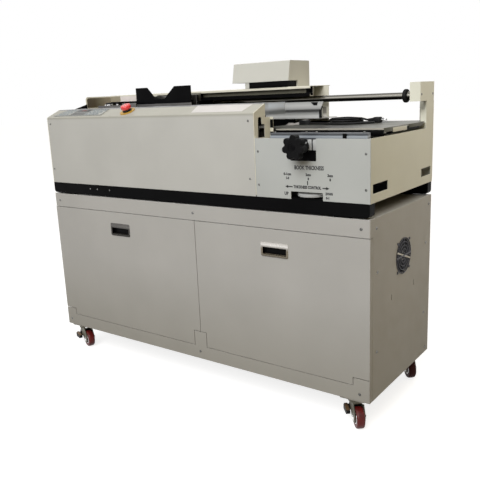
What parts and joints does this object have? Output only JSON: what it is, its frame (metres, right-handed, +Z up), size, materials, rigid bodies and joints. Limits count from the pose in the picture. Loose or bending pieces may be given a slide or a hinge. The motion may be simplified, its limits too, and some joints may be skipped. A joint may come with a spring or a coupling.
{
  "type": "perfect binding machine",
  "caption": "Book binder with a travelling clamp over a milling head and glue rollers, a cover station with a steel table, on a castored steel cabinet with two drop doors.",
  "frame": {"origin": "on the floor, in the middle of the machine's length and depth", "axes": "+X along the machine to the operator's right, +Y to the back, +Z up"},
  "size_m": [1.4888, 0.583, 1.203],
  "materials": {
    "cabinet_paint": "fine textured powder coat",
    "cover_paint": "satin powder coat",
    "hood_paint": "satin powder coat",
    "black_paint": "satin black enamel",
    "zinc_steel": "zinc plated",
    "ground_steel": "ground",
    "bright_chrome": "polished",
    "cast_block": "machined",
    "iron_paint": "painted casting",
    "black_plastic": "moulded",
    "fan_plastic": "moulded",
    "wheel_tread": "polyurethane",
    "black_rubber": "moulded",
    "panel_film": "film",
    "yellow_plastic": "moulded",
    "red_plastic": "moulded",
    "cord_sheath": "PVC"
  },
  "bodies": {
    "base": {"cabinet_shell": "cabinet_paint", "cabinet_top": "cabinet_paint", "cabinet_floor": "cabinet_paint", "front_frame": "cabinet_paint", "fan_frame": "fan_plastic", "fan_guard": "bright_chrome", "vent_guard": "bright_chrome", "rail_front": "black_paint", "rail_rear": "black_paint", "bed_plate": "zinc_steel", "front_cover": "cover_paint", "end_cover": "cover_paint", "cheek_plate": "cover_paint", "deck_plate": "zinc_steel", "front_panel": "cover_paint", "side_panel": "cover_paint", "rear_cover": "cover_paint", "beam": "cover_paint", "guide_rod": "bright_chrome", "rod_bumper": "black_rubber", "rear_bracket": "zinc_steel", "hood": "hood_paint", "guard_sheet": "zinc_steel", "glue_tank": "cast_block", "mill_motor": "iron_paint", "register_rail": "ground_steel", "control_panel": "panel_film", "stop_base": "yellow_plastic"},
    "left_door": {"door_left": "cabinet_paint", "pull_left": "bright_chrome"},
    "right_door": {"door_right": "cabinet_paint", "pull_right": "bright_chrome"},
    "fan": {"fan_rotor": "fan_plastic"},
    "mill": {"mill_disc": "ground_steel"},
    "roller_1": {"glue_roller_1": "ground_steel"},
    "roller_2": {"glue_roller_2": "ground_steel"},
    "table": {"table_frame": "black_paint", "nip_rear": "ground_steel", "cord_connector": "black_plastic", "cord_lead": "cord_sheath", "cord_coil": "cord_sheath", "cord_plug": "black_plastic"},
    "nip_plate": {"nip_front": "ground_steel"},
    "nip_nut": {"nip_nut": "zinc_steel"},
    "nip_knob": {"star_knob": "black_plastic"},
    "stop_block": {"register_stop": "black_paint"},
    "height_wheel": {"lift_wheel": "ground_steel"},
    "carriage": {"carriage": "iron_paint"},
    "jaw": {"front_jaw": "black_paint"},
    "stop_head": {"stop_button": "red_plastic"},
    "castor_fl": {"castor_fork_fl": "zinc_steel"},
    "wheel_fl": {"castor_wheel_fl": "wheel_tread"},
    "castor_fr": {"castor_fork_fr": "zinc_steel"},
    "wheel_fr": {"castor_wheel_fr": "wheel_tread"},
    "castor_rl": {"castor_fork_rl": "zinc_steel"},
    "wheel_rl": {"castor_wheel_rl": "wheel_tread"},
    "castor_rr": {"castor_fork_rr": "zinc_steel"},
    "wheel_rr": {"castor_wheel_rr": "wheel_tread"},
    "pedal_fl": {"castor_pedal_fl": "black_plastic"},
    "pedal_fr": {"castor_pedal_fr": "black_plastic"}
  },
  "joints": [
    {"name": "left_door_drop", "type": "hinge", "parent": "base", "child": "left_door", "pos_m": [-0.347, -0.2285, 0.156], "axis": [1, 0, 0], "range_deg": [0, 90]},
    {"name": "right_door_drop", "type": "hinge", "parent": "base", "child": "right_door", "pos_m": [0.396, -0.2285, 0.156], "axis": [1, 0, 0], "range_deg": [0, 90]},
    {"name": "fan_spin", "type": "hinge", "parent": "base", "child": "fan", "pos_m": [0.728, 0.0335, 0.534], "axis": [1, 0, 0], "continuous": true},
    {"name": "mill_spin", "type": "hinge", "parent": "base", "child": "mill", "pos_m": [-0.062, 0.0325, 0.963], "axis": [0, 0, 1], "continuous": true},
    {"name": "roller_1_spin", "type": "hinge", "parent": "base", "child": "roller_1", "pos_m": [0.09, 0.0325, 0.937], "axis": [0, 1, 0], "continuous": true},
    {"name": "roller_2_spin", "type": "hinge", "parent": "base", "child": "roller_2", "pos_m": [0.18, 0.0325, 0.937], "axis": [0, 1, 0], "continuous": true},
    {"name": "height_wheel_turn", "type": "hinge", "parent": "base", "child": "height_wheel", "pos_m": [0.525, -0.1815, 0.764], "axis": [0, 0, 1], "range_deg": [-370, 730]},
    {"name": "table_lift", "type": "slide", "parent": "base", "child": "table", "axis": [0, 0, 1], "range_m": [-0.005, 0.01]},
    {"name": "knob_turn", "type": "hinge", "parent": "base", "child": "nip_knob", "pos_m": [0.514, -0.2785, 0.921], "axis": [0, 1, 0], "range_deg": [-2710, 10]},
    {"name": "nut_slide", "type": "slide", "parent": "base", "child": "nip_nut", "axis": [0, 1, 0], "range_m": [-0.03, 0]},
    {"name": "nip_slide", "type": "slide", "parent": "table", "child": "nip_plate", "axis": [0, 1, 0], "range_m": [-0.03, 0]},
    {"name": "stop_slide", "type": "slide", "parent": "base", "child": "stop_block", "axis": [1, 0, 0], "range_m": [-0.25, 0.06]},
    {"name": "carriage_travel", "type": "slide", "parent": "base", "child": "carriage", "axis": [1, 0, 0], "range_m": [0, 0.845]},
    {"name": "jaw_close", "type": "slide", "parent": "carriage", "child": "jaw", "axis": [0, 1, 0], "range_m": [-0.026, 0.018]},
    {"name": "stop_push", "type": "slide", "parent": "base", "child": "stop_head", "axis": [0, 0.3972, -0.9177], "range_m": [0, 0.004], "stiffness_N_per_m": 2500},
    {"name": "castor_fl_swivel", "type": "hinge", "parent": "base", "child": "castor_fl", "pos_m": [-0.677, -0.1885, 0.093], "axis": [0, 0, 1], "continuous": true},
    {"name": "wheel_fl_roll", "type": "hinge", "parent": "castor_fl", "child": "wheel_fl", "pos_m": [-0.64881, -0.19876, 0.036], "axis": [0.342, 0.9397, 0], "continuous": true},
    {"name": "pedal_fl_press", "type": "hinge", "parent": "castor_fl", "child": "pedal_fl", "pos_m": [-0.68452, -0.18576, 0.0727], "axis": [-0.342, -0.9397, 0], "range_deg": [0, 9]},
    {"name": "castor_fr_swivel", "type": "hinge", "parent": "base", "child": "castor_fr", "pos_m": [0.677, -0.1885, 0.093], "axis": [0, 0, 1], "continuous": true},
    {"name": "wheel_fr_roll", "type": "hinge", "parent": "castor_fr", "child": "wheel_fr", "pos_m": [0.69628, -0.21148, 0.036], "axis": [0.766, 0.6428, 0], "continuous": true},
    {"name": "pedal_fr_press", "type": "hinge", "parent": "castor_fr", "child": "pedal_fr", "pos_m": [0.67186, -0.18237, 0.0727], "axis": [-0.766, -0.6428, 0], "range_deg": [0, 9]},
    {"name": "castor_rl_swivel", "type": "hinge", "parent": "base", "child": "castor_rl", "pos_m": [-0.677, 0.2515, 0.093], "axis": [0, 0, 1], "continuous": true},
    {"name": "wheel_rl_roll", "type": "hinge", "parent": "castor_rl", "child": "wheel_rl", "pos_m": [-0.65693, 0.22921, 0.036], "axis": [0.7431, 0.6691, 0], "continuous": true},
    {"name": "castor_rr_swivel", "type": "hinge", "parent": "base", "child": "castor_rr", "pos_m": [0.677, 0.2515, 0.093], "axis": [0, 0, 1], "continuous": true},
    {"name": "wheel_rr_roll", "type": "hinge", "parent": "castor_rr", "child": "wheel_rr", "pos_m": [0.69707, 0.22921, 0.036], "axis": [0.7431, 0.6691, 0], "continuous": true}
  ],
  "couplings": [
    {"joint": "height_wheel_turn", "follows": "table_lift", "rad_per_m": 1256.6},
    {"joint": "knob_turn", "follows": "nip_slide", "rad_per_m": 1570.8},
    {"joint": "nut_slide", "follows": "nip_slide", "ratio": 1},
    {"joint": "roller_2_spin", "follows": "roller_1_spin", "ratio": 1}
  ]
}
